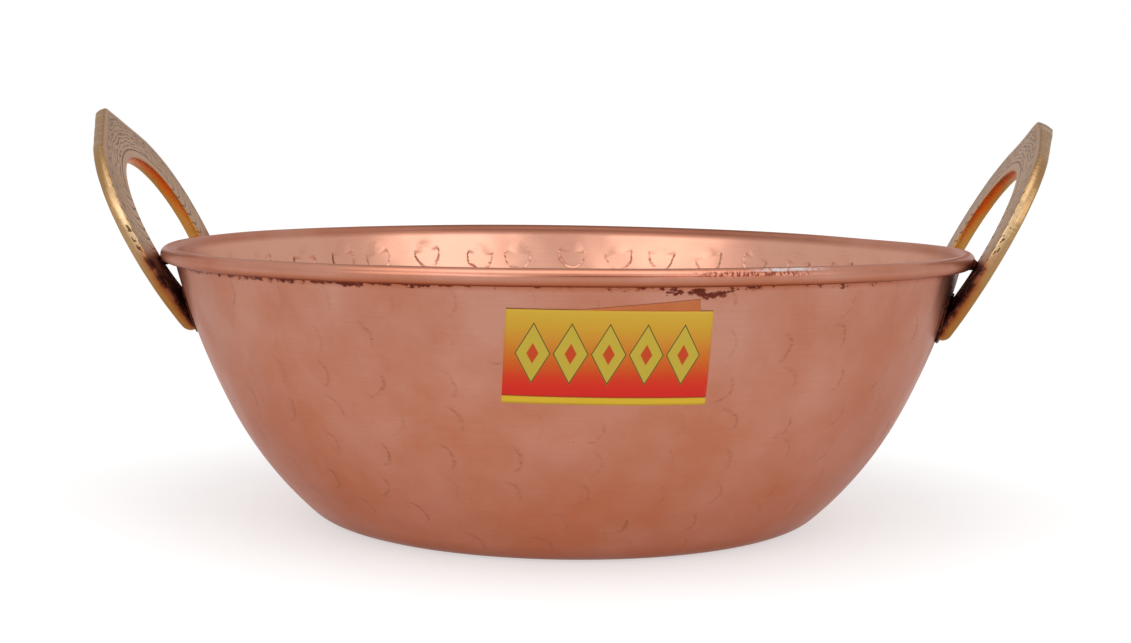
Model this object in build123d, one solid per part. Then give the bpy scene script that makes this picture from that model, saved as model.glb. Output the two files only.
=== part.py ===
from build123d import *
import os
from math import asin, cos, degrees, radians, sin, sqrt, tan

# A kadai: a round-bellied cooking pan beaten from one copper sheet, with two cast brass ring handles.
#
# The bowl's edge is rolled outwards over a wire, which stiffens the rim.
# Each handle is a flat ring with a pointed crown, open at the bottom. It leans outwards, touches the
# rolled rim with both legs and the wall with its two feet, and is brazed there. Nothing on the pan moves.
#
# Millimetres, Z up. The origin is on the bowl's axis at the underside of the base.
# The handles lie on the X axis, right at +X. The front, with the paper label, faces -Y.

# Bowl: one copper sheet
sheet = 1.1                 # thickness of the beaten copper
corner_radius = 12.5        # outside, from the base into the belly
belly_radius = 106.5        # outside, the curve of the lower wall
upper_radius = 201.0        # outside, the flatter curve up to the rim
corner_end = radians(47.6)  # lean of the wall from the vertical where the corner meets the belly
belly_end = radians(26.6)   # where the belly meets the upper wall
top_lean = radians(12.9)    # where the upper wall meets the rolled rim
base_radius = 68.4          # flat part of the underside

# Rolled rim and its wire
wire_radius = 1.15
wire_play = 0.05            # between the wire and the copper rolled over it
roll_wrap = radians(290.0)  # of the copper round the wire, from where the wall meets it
wire_butt_gap = 0.6         # between the two ends of the wire ring
wire_joint_side = radians(62.0)  # where those ends meet, from +X

# Handles: cast brass, both of one shape
handle_thickness = 3.8
handle_lean = radians(28.15)    # from the vertical
handle_half_width = 37.6
tip_rise = 46.7                 # crown's point above the rim, along the plate
widest_rise = 5.8               # level of the widest place
foot_drop = 25.2                # flat bottom of the feet below the rim, along the plate
flank_lean = radians(61.8)      # of the two straight edges that meet at the crown's point
leg_curve = 48.6                # radius of the outer edge of the legs
hole_radius = 25.8
hole_rise = 3.3
foot_gap = 28.0                 # between the two legs below the hole
leg_round = 3.0                 # where the hole's edge turns down into that gap
tip_round = 2.6
edge_round = 0.5
# They were set by eye. Turn is in the plate's own plane, positive brings its crown to the front.
right_stand = 0.4               # between the inner face and the rolled rim
right_turn = radians(-1.1)
left_stand = 1.3
left_turn = radians(2.9)

# Brazing
braze_gap = 0.1             # between the brass and the copper at the foot
foot_fillet = 0.9           # how far the alloy stands out from the joint at the foot
foot_braze_top = 14.0       # below the rim, where the foot's fillet runs out
rim_braze_length = 5.0      # along each leg's seat on the rim
rim_braze_height = 2.6      # up the plate
rim_braze_sag = 0.3         # of its middle below the seat
hole_overlap = 0.4          # how far the alloy on the rim runs into the hole

# Paper labels: the newer one is stuck over an older, smaller one
label_size = (50.8, 25.4)
label_side = radians(-81.3)     # azimuth of the label's middle, from +X
label_level = 58.5
label_turn = radians(0.2)       # in the surface
under_label_size = (47.0, 23.5)
under_label_side = radians(-81.5)
under_label_level = 60.5
under_label_turn = radians(5.0)
label_thickness = 0.15
paper_gap = 0.03

overrun = 6.0               # by which cutters pass what they cut

# Worked out from the sizes above
roll_radius = wire_radius + wire_play + sheet
half_turn = radians(180)
full_turn = 2 * half_turn


def arc_points(centre, radius, start, end):
    """First, middle and last point of an arc. A point lies radius from centre, at an angle below outwards."""
    return [
        (centre[0] + radius * cos(a), centre[1] - radius * sin(a))
        for a in (start, (start + end) / 2, end)
    ]


def wall_arcs(offset):
    """The outer wall's three arcs from the base up, grown outwards by offset: (centre, radius, start, end)."""
    arcs = []
    corner = (base_radius, corner_radius)
    arcs.append((corner, corner_radius + offset, half_turn / 2, corner_end))
    belly = (
        corner[0] - (belly_radius - corner_radius) * cos(corner_end),
        corner[1] + (belly_radius - corner_radius) * sin(corner_end),
    )
    arcs.append((belly, belly_radius + offset, corner_end, belly_end))
    upper = (
        belly[0] + (belly_radius - upper_radius) * cos(belly_end),
        belly[1] - (belly_radius - upper_radius) * sin(belly_end),
    )
    arcs.append((upper, upper_radius + offset, belly_end, top_lean))
    return arcs


def wall_top(offset=0.0):
    """Where the wall meets the rolled rim."""
    centre, radius, _, end = wall_arcs(offset)[-1]
    return (centre[0] + radius * cos(end), centre[1] - radius * sin(end))


# Centre of the rolled rim's section, which is also the wire's.
rim_middle, rim_level = wall_top(wire_radius + wire_play)


def wall_radius_at(level):
    """Outer radius of the wall at a height above the base."""
    for centre, radius, start, end in wall_arcs(0.0):
        low, high = centre[1] - radius * sin(start), centre[1] - radius * sin(end)
        if low <= level <= high:
            return centre[0] + sqrt(radius**2 - (level - centre[1]) ** 2)
    return wall_top()[0]


def wall_lean_at(level):
    """Lean of the wall from the vertical at a height above the base."""
    for centre, radius, start, end in wall_arcs(0.0):
        low, high = centre[1] - radius * sin(start), centre[1] - radius * sin(end)
        if low <= level <= high:
            return asin((centre[1] - level) / radius)
    return top_lean


def section_edges(offset):
    """Edges of one side of the wall, from the base's flat to the rim."""
    edges = []
    for centre, radius, start, end in wall_arcs(offset):
        edges.append(ThreePointArc(*arc_points(centre, radius, start, end)))
    return edges


def bowl_section():
    """The sheet's section, X outwards and Y up, from the axis to the rolled edge and back."""
    rim = (rim_middle, rim_level)
    meet = top_lean - half_turn
    edge = meet + roll_wrap
    outside = section_edges(0.0)
    roll_in = ThreePointArc(*arc_points(rim, wire_radius + wire_play, meet, edge))
    roll_out = ThreePointArc(*arc_points(rim, roll_radius, edge, meet))
    inside = section_edges(-sheet)
    joins = [
        Line((0, 0), outside[0] @ 0),
        Line(roll_in @ 1, roll_out @ 0),
        Line(inside[0] @ 0, (0, sheet)),
        Line((0, sheet), (0, 0)),
    ]
    return make_face(outside + [roll_in, roll_out] + inside + joins)


def turned(face, arc=full_turn):
    """A face drawn with X outwards and Y up, turned round the bowl's axis."""
    return revolve(Plane.XZ * face, Axis.Z, degrees(arc))


def bowl():
    return turned(bowl_section())


def envelope(offset):
    """All that lies inside the outer wall grown by offset, from under the base to the rim."""
    wall = section_edges(offset)
    top = wall_top(offset)
    bottom = wall[0] @ 0
    joins = [
        Line((0, bottom.Y), bottom),
        Line(top, (0, top[1])),
        Line((0, top[1]), (0, bottom.Y)),
    ]
    return turned(make_face(wall + joins))


def rim_wire():
    """The wire ring inside the roll, with a small gap where its ends meet."""
    section = Pos(rim_middle, rim_level) * Circle(wire_radius)
    ring = turned(section, full_turn - wire_butt_gap / rim_middle)
    return Rot(0, 0, degrees(wire_joint_side)) * ring


def seat_drop():
    """How far below the rim's centre, along the plate, the inner face is nearest to the rolled rim."""
    return roll_radius * tan(handle_lean)


def seat_half_span():
    """Half the distance between the two places where the hole's edge meets the rolled rim."""
    return sqrt(hole_radius**2 - (hole_rise + seat_drop()) ** 2)


def handle_plane(stand):
    """The inner face of the right handle: local X is towards the rear, local Y up the plate."""
    reach = sqrt(rim_middle**2 - seat_half_span() ** 2)
    face_radius = reach + roll_radius / cos(handle_lean) + stand
    return Plane(
        origin=(face_radius, 0, rim_level),
        x_dir=(0, 1, 0),
        z_dir=(cos(handle_lean), 0, -sin(handle_lean)),
    )


def handle_outline(grow=0.0):
    """The handle's outer edge: straight flanks to a point, round shoulders, curved legs, flat feet."""
    half = handle_half_width + grow
    tip = tip_rise + grow / sin(flank_lean)
    foot = -foot_drop - grow
    shoulder = ((tip - widest_rise) * sin(flank_lean) - half * cos(flank_lean)) / (1 - cos(flank_lean))
    shoulder_middle = (half - shoulder, widest_rise)
    flank_end = (
        shoulder_middle[0] + shoulder * cos(flank_lean),
        shoulder_middle[1] + shoulder * sin(flank_lean),
    )
    shoulder_point = (
        shoulder_middle[0] + shoulder * cos(flank_lean / 2),
        shoulder_middle[1] + shoulder * sin(flank_lean / 2),
    )
    leg = leg_curve + grow
    leg_middle = (half - leg, widest_rise)
    foot_turn = asin((widest_rise - foot) / leg)
    leg_point = (leg_middle[0] + leg * cos(foot_turn / 2), leg_middle[1] - leg * sin(foot_turn / 2))
    leg_end = (leg_middle[0] + leg * cos(foot_turn), foot)
    edges = []
    for side in (1, -1):
        top, flank, shoulder_mid, wide, leg_mid, low = [
            (side * x, y)
            for x, y in ((0, tip), flank_end, shoulder_point, (half, widest_rise), leg_point, leg_end)
        ]
        edges.append(Line(top, flank))
        edges.append(ThreePointArc(flank, shoulder_mid, wide))
        edges.append(ThreePointArc(wide, leg_mid, low))
    edges.append(Line((-leg_end[0], foot), leg_end))
    return make_face(edges)


def handle_opening(shrink=0.0):
    """The round hole and the gap that runs down from it between the legs."""
    radius = hole_radius - shrink
    half_gap = foot_gap / 2 - shrink
    meet = hole_rise - sqrt(radius**2 - half_gap**2)
    gap = Pos(0, -foot_drop) * Rectangle(2 * half_gap, foot_drop)
    opening = Pos(0, hole_rise) * Circle(radius) + gap
    corners = opening.vertices().filter_by_position(Axis.Y, meet - leg_round, meet + leg_round)
    return fillet(corners, leg_round)


def handle(stand, turn):
    """The right handle: a cast ring open at the bottom, its edges rounded, its feet filed to the wall."""
    plate = extrude(handle_outline(), handle_thickness)
    crown = plate.edges().filter_by(Axis.Z).sort_by(Axis.Y)[-1]
    plate = fillet(crown, tip_round)
    plate = plate - Pos(0, 0, -overrun) * extrude(handle_opening(), handle_thickness + 2 * overrun)
    plate = fillet(plate.faces().filter_by(Axis.Z).edges(), edge_round)
    placed = handle_plane(stand) * Rot(0, 0, degrees(turn)) * plate
    return placed - envelope(braze_gap)


def rim_braze(stand, turn, leg):
    """The alloy between one leg and the rolled rim. leg is 1 for the rear one and -1 for the front one."""
    inner_end = seat_half_span() - hole_overlap
    depth = stand + roll_radius
    middle = (leg * (inner_end + rim_braze_length / 2), -seat_drop() - rim_braze_sag, -depth / 2)
    block = Pos(*middle) * Box(rim_braze_length, rim_braze_height, depth)
    within_ring = extrude(handle_outline(), -depth)
    placed = handle_plane(stand) * (block & (Rot(0, 0, degrees(turn)) * within_ring))
    rim = turned(Pos(rim_middle, rim_level) * Circle(roll_radius))
    inside = turned(Pos(rim_middle / 2, rim_level) * Rectangle(rim_middle, rim_level))
    return placed - rim - inside


def foot_braze(stand, turn, leg, brass):
    """The fillet round one foot, where it meets the wall. leg is as for the alloy on the rim."""
    outline = handle_outline(foot_fillet) - handle_opening(foot_fillet)
    width = handle_half_width + overrun
    side = Pos(leg * width / 2, -foot_braze_top - width / 2) * Rectangle(width, width)
    block = Pos(0, 0, -foot_fillet) * extrude(outline & side, handle_thickness + 2 * foot_fillet)
    placed = handle_plane(stand) * Rot(0, 0, degrees(turn)) * block
    shell = envelope(foot_fillet) - envelope(0.0)
    return (placed & shell) - brass


def label(size, side, level, turn, gap):
    """A paper rectangle that lies on the wall, its middle at an azimuth and a height."""
    shell = envelope(gap + label_thickness) - envelope(gap)
    radius = wall_radius_at(level)
    lean = wall_lean_at(level)
    out = (cos(side) * cos(lean), sin(side) * cos(lean), -sin(lean))
    along = (-sin(side), cos(side), 0)
    middle = Plane(origin=(radius * cos(side), radius * sin(side), level), x_dir=along, z_dir=out)
    return shell & (middle * Rot(0, 0, degrees(turn)) * Box(*size, 2 * overrun))


def main():
    os.makedirs("parts", exist_ok=True)
    pieces = {"bowl": bowl(), "rim_wire": rim_wire()}
    for side, about, stand, turn in (
        ("right", 0, right_stand, right_turn),
        ("left", half_turn, left_stand, -left_turn),
    ):
        brass = handle(stand, turn)
        placed = Rot(0, 0, degrees(about))
        rear = 1 if about == 0 else -1
        pieces[side + "_handle"] = placed * brass
        pieces[side + "_rim_braze_rear"] = placed * rim_braze(stand, turn, rear)
        pieces[side + "_rim_braze_front"] = placed * rim_braze(stand, turn, -rear)
        pieces[side + "_foot_braze_rear"] = placed * foot_braze(stand, turn, rear, brass)
        pieces[side + "_foot_braze_front"] = placed * foot_braze(stand, turn, -rear, brass)
    pieces["under_label"] = label(
        under_label_size, under_label_side, under_label_level, under_label_turn, paper_gap
    )
    pieces["label"] = label(
        label_size, label_side, label_level, label_turn, 2 * paper_gap + label_thickness
    )
    for name, piece in pieces.items():
        export_step(piece, f"parts/{name}.step")


main()
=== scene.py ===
import bpy
import numpy as np
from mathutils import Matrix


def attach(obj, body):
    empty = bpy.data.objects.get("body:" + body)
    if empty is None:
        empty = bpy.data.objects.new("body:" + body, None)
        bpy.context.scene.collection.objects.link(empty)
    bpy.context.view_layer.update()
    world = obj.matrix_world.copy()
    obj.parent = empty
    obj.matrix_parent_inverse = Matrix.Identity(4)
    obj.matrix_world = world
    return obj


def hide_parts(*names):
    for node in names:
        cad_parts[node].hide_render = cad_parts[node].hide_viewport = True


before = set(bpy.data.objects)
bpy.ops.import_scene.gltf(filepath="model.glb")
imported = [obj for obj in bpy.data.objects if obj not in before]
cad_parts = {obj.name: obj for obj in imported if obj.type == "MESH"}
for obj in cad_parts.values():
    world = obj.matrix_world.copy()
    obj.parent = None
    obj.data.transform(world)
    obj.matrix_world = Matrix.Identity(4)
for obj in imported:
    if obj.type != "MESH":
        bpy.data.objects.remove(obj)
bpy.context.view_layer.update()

# The bowl: one disc of copper sheet, beaten over a stake into a belly on a flat base. Its edge is rolled
# outwards over a wire. The sheet was pickled pink, planished in rings with a round-faced hammer and then
# rubbed down by hand, so it is satin, and every blow has left a shallow dent with one sharper side.

MM = 0.001
sheet = 1.1
base_radius = 68.4
corner_radius, belly_radius, upper_radius = 12.5, 106.5, 201.0
corner_end, belly_end, top_lean = np.radians([47.6, 26.6, 12.9])
wire_radius, wire_play = 1.15, 0.05
roll_wrap = np.radians(290.0)


def way(angle):
    """The direction from an arc's middle to its point, out and up: cosine and minus sine of an angle."""
    return np.stack([np.cos(angle), -np.sin(angle)], axis=-1)


corner_middle = np.array([base_radius, corner_radius])
belly_middle = corner_middle - (belly_radius - corner_radius) * way(corner_end)
upper_middle = belly_middle + (belly_radius - upper_radius) * way(belly_end)
rim_middle = upper_middle + (upper_radius + wire_radius + wire_play) * way(top_lean)
rim_level = rim_middle[1]
wall_arcs = (
    (corner_middle, corner_radius, np.pi / 2, corner_end),
    (belly_middle, belly_radius, corner_end, belly_end),
    (upper_middle, upper_radius, belly_end, top_lean),
)
# How far the rim lies under its true level, at azimuths in degrees: it was beaten and rolled by eye.
rim_sinks = np.array([
    (-180, 1.1), (-160, 1.35), (-140, 1.4), (-120, 1.1), (-100, 0.65), (-80, 0.35), (-60, 0.15),
    (-40, 0.2), (-20, 0.2), (0, 0.2), (20, 0.4), (35, 0.55), (50, 0.0), (65, -0.25), (80, -0.4),
    (95, -0.5), (110, -0.45), (125, -0.15), (140, 0.1), (155, 0.35), (170, 0.8),
])
sink_reach = 12.0        # degrees over which a sink fades round the rim
wobble = 0.25            # by which the hand-made round is out of true


def arc(middle, radius, start, end, count):
    """Points (out, up) of an arc: middle plus radius times the way of an angle that runs evenly."""
    return middle + radius * way(np.linspace(start, end, count))


def wall_line(offset, counts):
    """The wall's line from the flat base to the rim, grown outwards by offset: its three arcs in a row."""
    lines = [arc(m, r + offset, s, e, n)[1:] for (m, r, s, e), n in zip(wall_arcs, counts)]
    return np.concatenate([arc(*wall_arcs[0][:3], wall_arcs[0][3], 2)[:1] - [0, offset]] + lines)


def wall_radius(level):
    """Outer radius of the wall at heights above the base, read between points of its line."""
    line = wall_line(0.0, (60, 120, 120))
    return np.interp(level, line[:, 1], line[:, 0])


def hand_made(points):
    """The true round pan's points as the hands left them. Each sinks by rim_sinks, averaged round its
    azimuth with weights exp(-(angle / sink_reach) ** 2), and moves inwards by three slow waves round the
    pan that fade at the handles. Both grow with the third power of its height."""
    round_radians = np.arctan2(points[..., 1], points[..., 0])
    share = np.clip(points[..., 2] / rim_level, 0, 1.05) ** 3
    apart = (np.degrees(round_radians)[..., None] - rim_sinks[:, 0] + 180) % 360 - 180
    weight = np.exp(-(apart / sink_reach) ** 2)
    sink = (weight * rim_sinks[:, 1]).sum(axis=-1) / weight.sum(axis=-1)
    waves = np.sin(2 * round_radians + 0.7) + 0.5 * np.sin(5 * round_radians + 2.1)
    waves = waves + 0.3 * np.sin(9 * round_radians)
    off_handles = np.clip(np.abs(np.sin(round_radians)) * 3 - 0.6, 0, 1)
    inwards = wobble * (1.8 - waves) / 1.8 * off_handles * share
    moved = points.copy()
    moved[..., :2] *= 1 - (inwards / np.maximum(np.hypot(points[..., 0], points[..., 1]), 1))[..., None]
    moved[..., 2] -= sink * share
    return moved


def surface(name, grid, ends, **facts):
    """A closed mesh from points in mm. A row runs once round the piece and the rows follow each other along
    it, so four neighbours make a face. Each end row is closed by a fan to its end point. facts are values
    per point. The signed volume, a sixth of the sum of a . (b x c) over the faces, says whether the faces
    must be turned over."""
    rows, columns = grid.shape[:2]
    points = np.concatenate([grid.reshape(-1, 3), np.asarray(ends, float)])
    here = np.arange(rows * columns).reshape(rows, columns)
    beside = np.roll(here, -1, axis=1)
    quads = np.stack([here[:-1], beside[:-1], beside[1:], here[1:]], axis=-1).reshape(-1, 4)
    first = np.stack([beside[0], here[0], np.full(columns, rows * columns)], axis=-1)
    last = np.stack([here[-1], beside[-1], np.full(columns, rows * columns + 1)], axis=-1)
    fans = np.concatenate([first, last])
    halves = np.concatenate([quads[:, :3], quads[:, [0, 2, 3]], fans])
    a, b, c = (points[halves[:, i]] for i in range(3))
    turn_over = np.einsum("ij,ij->i", a, np.cross(b, c)).sum() < 0
    faces = [q[::-1] if turn_over else q for q in quads.tolist() + fans.tolist()]
    mesh = bpy.data.meshes.new(name)
    mesh.from_pydata((points * MM).tolist(), [], faces)
    for key, values in facts.items():
        values = np.broadcast_to(values, (rows, columns)).astype(np.float32)
        layer = mesh.attributes.new(key, "FLOAT", "POINT")
        layer.data.foreach_set("value", np.append(values.ravel(), [values[0].mean(), values[-1].mean()]))
    mesh.shade_smooth()
    piece = bpy.data.objects.new(name, mesh)
    bpy.context.scene.collection.objects.link(piece)
    return piece


def paint(code):
    """An sRGB hex colour as linear RGBA: each channel c is c / 12.92 up to 0.04045, and above it
    ((c + 0.055) / 1.055) ** 2.4."""
    c = np.array([int(code[i:i + 2], 16) for i in (1, 3, 5)]) / 255
    return (*np.where(c <= 0.04045, c / 12.92, ((c + 0.055) / 1.055) ** 2.4), 1.0)


def node(tree, kind, *values, at=None, out=0, **settings):
    """Adds a shader node. values fill its inputs in order and at fills them by name or number. None leaves
    one alone, and an output is linked. Returns the output out, or the node itself where out is None."""
    made = tree.nodes.new("ShaderNode" + kind)
    for key, value in settings.items():
        setattr(made, key, value)
    for key, value in [*enumerate(values), *(at or {}).items()]:
        if isinstance(value, bpy.types.NodeSocket):
            tree.links.new(value, made.inputs[key])
        elif value is not None:
            made.inputs[key].default_value = value
    return made if out is None else made.outputs[out]


def material(name):
    """A new material with a bare node tree and its output node."""
    made = bpy.data.materials.new(name)
    made.use_nodes = True
    made.node_tree.nodes.clear()
    return made, made.node_tree, node(made.node_tree, "OutputMaterial", out=None)


def band(tree, value, middle, near, far, most=1.0, least=0.0, **settings):
    """How much a value's distance from middle counts: most up to near, least from far on, even between."""
    off = node(tree, "Math", node(tree, "Math", value, middle, operation="SUBTRACT"), operation="ABSOLUTE")
    return node(tree, "MapRange", off, near, far, most, least, **settings)


# The section runs from the axis under the base, up the outside, round inside and outside of the roll, and
# down the inside. rise is the distance along the sheet from the middle of the base, on either of its sides.
outer_wall = wall_line(0.0, (12, 22, 26))
inner_wall = wall_line(-sheet, (12, 22, 26))
meet = top_lean - np.pi
roll_inside = arc(rim_middle, wire_radius + wire_play, meet, meet + roll_wrap, 16)
roll_outside = arc(rim_middle, wire_radius + wire_play + sheet, meet + roll_wrap, meet, 40)
flat = np.linspace(base_radius / 12, base_radius, 12)[:-1, None] * [1, 0]
section = np.concatenate(
    [flat, outer_wall, roll_inside[1:], roll_outside, inner_wall[::-1][1:], flat[::-1] + [0, sheet]]
)
steps = np.linalg.norm(np.diff(section, axis=0, prepend=[[0, 0]]), axis=1)
rise = np.cumsum(steps)
inner_rise = np.cumsum(np.linalg.norm(np.diff(section[::-1], axis=0, prepend=[[0, sheet]]), axis=1))[::-1]
outer_top = len(flat) + len(outer_wall)
roll_top = outer_top + len(roll_inside) - 1 + len(roll_outside)
rise[roll_top:] = inner_rise[roll_top:]
# skin is 0 outside, 1 on the roll and 2 inside. roll_angle is the roll's side in degrees above straight
# outwards. The crest mask is 1 on the roll's crest and inner half, which carry painted shade, and 0
# elsewhere.
skin = np.zeros(len(section))
skin[outer_top:roll_top] = 1
skin[roll_top:] = 2
roll_angle = np.full(len(section), -123.0)
roll_angle[outer_top + len(roll_inside) - 1:roll_top] = -np.degrees(np.linspace(meet + roll_wrap, meet, 40))
roll_angle[roll_top:] = -np.degrees(meet)
tarnished = np.clip((roll_angle - 62) / 24, 0, 1) * np.clip((rise - 163.2) / 1.2, 0, 1) * (skin > 0)
azimuth = np.linspace(0, 2 * np.pi, 520, endpoint=False)
bowl_points = hand_made(np.stack(np.broadcast_arrays(
    section[:, :1] * np.cos(azimuth), section[:, :1] * np.sin(azimuth), section[:, 1:]), axis=-1))
bowl = surface(
    "bowl_copper", bowl_points, [(0, 0, 0), (0, 0, sheet)],
    rise=rise[:, None], skin=skin[:, None], roll_angle=roll_angle[:, None], tarnished=tarnished[:, None],
)

# Raised and planished copper, satin from hand rubbing. The eye sees a soft pink-orange sheen, rings of
# shallow dents about 18 mm apart whose sharper sides catch the light, fine rub lines round the pan, and
# brown heat stains that the pickle has left under the roll. Beside the feet a brown-red is partly burnt
# flux and partly a painted reflection of the dark legs.
copper, tree, output = material("copper_sheet_planished_and_rubbed")
place = node(tree, "TexCoord", out="Object")
axes = node(tree, "SeparateXYZ", place, out=None)
turn = node(tree, "Math", axes.outputs[1], axes.outputs[0], operation="ARCTAN2")
rise_mm = node(tree, "Attribute", attribute_name="rise", out="Fac")
skin_side = node(tree, "Attribute", attribute_name="skin", out="Fac")
roll_degrees = node(tree, "Attribute", attribute_name="roll_angle", out="Fac")
tarnish = node(tree, "Attribute", attribute_name="tarnished", out="Fac")
inside = node(tree, "MapRange", skin_side, 1.0, 2.0, 0.0, 1.0)
outside = node(tree, "MapRange", skin_side, 0.0, 0.4, 1.0, 0.0)
on_roll = node(tree, "Math", skin_side, 1.0, 0.4, operation="COMPARE")
off_roll = node(tree, "Math", 1.0, on_roll, operation="SUBTRACT")

# Blows: rings 11 mm apart along the sheet, the uppermost 7.4 mm under the roll outside and 9.8 mm inside. In
# a ring the blows are 17.6 mm apart. Each has its own small offset, force and sharper side, from the noise
# value of its number and ring.
mark_pitch, ring_pitch = 17.6, 11.0
mark_radius = 4.7
stray_round, stray_up, raggedness = 4.4, 1.4, 2.2            # mm over which a blow's place and outline vary
corner_rise, belly_rise, wall_rise = 77.65, 116.7, 164.7     # along the sheet, to the end of each arc
corner_growth, belly_growth, wall_growth = 76.8, 23.4, 16.2  # by which the radius grows over each arc
ring_start = node(tree, "MapRange", inside, 0.0, 1.0, 2.2, 4.6)
ring = node(tree, "Math", rise_mm, ring_start, operation="ADD")
ring = node(tree, "Math", node(tree, "Math", ring, ring_pitch, operation="DIVIDE"), operation="FLOOR")
ring_rise = node(tree, "Math", ring, ring_pitch, ring_pitch / 2, operation="MULTIPLY_ADD")
ring_rise = node(tree, "Math", ring_rise, ring_start, operation="SUBTRACT")
below = node(tree, "MapRange", ring_rise, 0.0, corner_rise, 0.0, corner_growth)
middle = node(tree, "MapRange", ring_rise, corner_rise, belly_rise, 0.0, belly_growth)
above = node(tree, "MapRange", ring_rise, belly_rise, wall_rise, 0.0, wall_growth)
ring_radius = node(tree, "Math", node(tree, "Math", below, middle, operation="ADD"), above, operation="ADD")
marks = node(tree, "Math", ring_radius, 2 * np.pi / mark_pitch, operation="MULTIPLY")
marks = node(tree, "Math", node(tree, "Math", marks, operation="ROUND"), 1.0, operation="MAXIMUM")
turns = node(tree, "Math", turn, 1 / (2 * np.pi), operation="MULTIPLY")
stagger = node(tree, "Math", ring, 0.37, operation="MULTIPLY")
along = node(tree, "Math", turns, marks, stagger, operation="MULTIPLY_ADD")
mark = node(tree, "Math", node(tree, "Math", along, operation="FLOOR"), marks, operation="FLOORED_MODULO")
chance = node(tree, "CombineXYZ", mark, ring, 0.5)
chance = node(tree, "TexWhiteNoise", chance, noise_dimensions="3D", out=None)
luck = node(tree, "SeparateColor", chance.outputs["Color"], out=None)
across = node(tree, "Math", node(tree, "Math", along, operation="FRACT"), 0.5, operation="SUBTRACT")
across = node(tree, "Math", across, mark_pitch, operation="MULTIPLY")
across = node(tree, "Math", luck.outputs[0], stray_round, across, operation="MULTIPLY_ADD")
across = node(tree, "Math", across, stray_round / 2, operation="SUBTRACT")
upward = node(tree, "Math", rise_mm, ring_rise, operation="SUBTRACT")
upward = node(tree, "Math", luck.outputs[1], stray_up, upward, operation="MULTIPLY_ADD")
upward = node(tree, "Math", upward, stray_up / 2, operation="SUBTRACT")
ragged = node(tree, "TexNoise", place, at={"Scale": 230.0, "Detail": 3.0})
tall = node(tree, "Math", upward, node(tree, "MapRange", inside, 0.0, 1.0, 1.0, 0.85), operation="MULTIPLY")
from_blow = node(tree, "CombineXYZ", across, tall, 0.0)
from_blow = node(tree, "VectorMath", from_blow, operation="LENGTH", out="Value")
from_blow = node(tree, "Math", ragged, raggedness, from_blow, operation="MULTIPLY_ADD")
from_blow = node(tree, "Math", from_blow, raggedness / 2, operation="SUBTRACT")
sharp_turn = node(tree, "Math", luck.outputs[2], 0.5, operation="SUBTRACT")
sharp_spread = node(tree, "MapRange", inside, 0.0, 1.0, 1.4, 0.6)
sharp_turn = node(tree, "Math", sharp_turn, sharp_spread, operation="MULTIPLY")
sharp_turn = node(tree, "Math", inside, -np.pi / 2, sharp_turn, operation="MULTIPLY_ADD")
cosine = node(tree, "Math", sharp_turn, operation="COSINE")
sine = node(tree, "Math", sharp_turn, operation="SINE")
lean = node(tree, "Math", across, cosine, operation="MULTIPLY")
lean = node(tree, "Math", upward, sine, lean, operation="MULTIPLY_ADD")
lean = node(tree, "Math", lean, node(tree, "Math", from_blow, 0.5, operation="MAXIMUM"), operation="DIVIDE")
lean = node(tree, "Math", inside, 0.75, lean, operation="MULTIPLY_ADD")
sharp_side = node(tree, "MapRange", lean, 0.35, 0.85, 0.0, 1.0, interpolation_type="SMOOTHSTEP")
steep = node(
    tree, "MapRange", from_blow, mark_radius - 0.35, mark_radius + 0.35, 1.0, 0.0,
    interpolation_type="SMOOTHSTEP",
)
gentle = node(tree, "MapRange", from_blow, 0.4, mark_radius, 1.0, 0.0, interpolation_type="SMOOTHSTEP")
least = node(tree, "MapRange", inside, 0.0, 1.0, 0.22, 0.7)
force = node(tree, "Math", chance.outputs["Value"], 1.6, operation="POWER")
force = node(tree, "MapRange", force, 0.0, 1.0, least, 1.0)
for limit in (
    node(tree, "MapRange", rise_mm, 62.0, 90.0, 0.1, 1.0),
    node(tree, "MapRange", rise_mm, 162.4, 162.8, 1.0, 0.0),
    off_roll,
    node(tree, "Math", ring_rise, 163.0, operation="LESS_THAN"),
):
    force = node(tree, "Math", force, limit, operation="MULTIPLY")
dent = node(tree, "Math", node(tree, "Mix", sharp_side, None, gentle, steep), force, operation="MULTIPLY")
dent_depth = node(tree, "MapRange", skin_side, 1.0, 2.0, -0.09, -0.26)

# The hammer's edge left short strokes side by side along each sharper side: 0.7 mm apart, 3 mm long.
stroke_place = node(tree, "Math", turn, 34.0, operation="MULTIPLY")
stroke_place = node(tree, "CombineXYZ", stroke_place, rise_mm, skin_side)
strokes = node(tree, "TexNoise", stroke_place, at={"Scale": 1.3, "Detail": 2.0})
strokes = node(tree, "MapRange", strokes, 0.40, 0.58, 0.15, 1.0)
# A dark line of painted shade lies along each blow's sharper side, broken into these strokes.
mark_line = band(tree, from_blow, mark_radius, 0.15, 0.75, interpolation_type="SMOOTHSTEP")
for factor in (sharp_side, force, strokes):
    mark_line = node(tree, "Math", mark_line, factor, operation="MULTIPLY")

# Rub lines run round the pan: noise drawn out 40 times longer than it is high, about 0.5 mm between lines.
rub_place = node(tree, "CombineXYZ", node(tree, "Math", turn, 2.4, operation="MULTIPLY"), rise_mm, skin_side)
rub = node(tree, "TexNoise", rub_place, at={"Scale": 2.0, "Detail": 4.0, "Roughness": 0.6})
slow = node(tree, "TexNoise", place, at={"Scale": 24.0, "Detail": 2.0, "Roughness": 0.5})
cloud = node(tree, "TexNoise", place, at={"Scale": 42.0, "Detail": 4.0, "Roughness": 0.6})
fine = node(tree, "TexNoise", place, at={"Scale": 900.0, "Detail": 2.0})
height = node(tree, "Math", dent, dent_depth, operation="MULTIPLY")
height = node(tree, "Math", rub, 0.0035, height, operation="MULTIPLY_ADD")
swelling = node(tree, "MapRange", off_roll, 0.0, 1.0, 0.3, 2.2)
height = node(tree, "Math", slow, swelling, height, operation="MULTIPLY_ADD")
height = node(tree, "Math", fine, 0.004, height, operation="MULTIPLY_ADD")
height = node(tree, "Math", height, MM, operation="MULTIPLY")
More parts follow.
